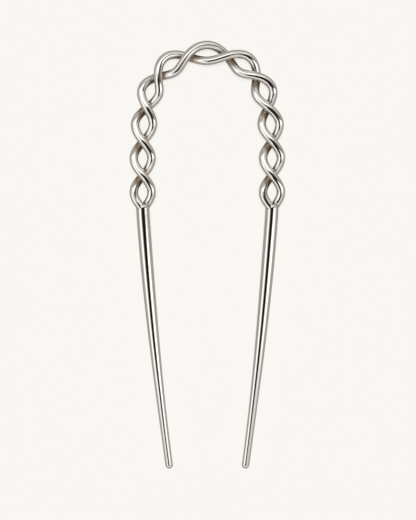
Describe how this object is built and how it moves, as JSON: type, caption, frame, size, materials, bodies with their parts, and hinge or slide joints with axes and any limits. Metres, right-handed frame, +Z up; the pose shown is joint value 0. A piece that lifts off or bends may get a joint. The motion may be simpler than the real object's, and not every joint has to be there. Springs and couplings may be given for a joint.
{
  "type": "hair fork",
  "caption": "U-shaped hair fork in polished silver-toned metal, with an open wire twist over the arch and down the legs, and slim tapering prongs with ball tips.",
  "frame": {"origin": "middle of the fork's box, at the height of the table that it lies on", "axes": "+X across the two prongs, +Y from the prong tips to the arch, +Z up from the table, towards the camera of the picture"},
  "size_m": [0.0436, 0.1198, 0.005],
  "materials": {
    "polished_metal": "mirror-polished silver-toned plating, slightly warm"
  },
  "bodies": {
    "root": {"hair_fork": "polished_metal"}
  },
  "joints": []
}
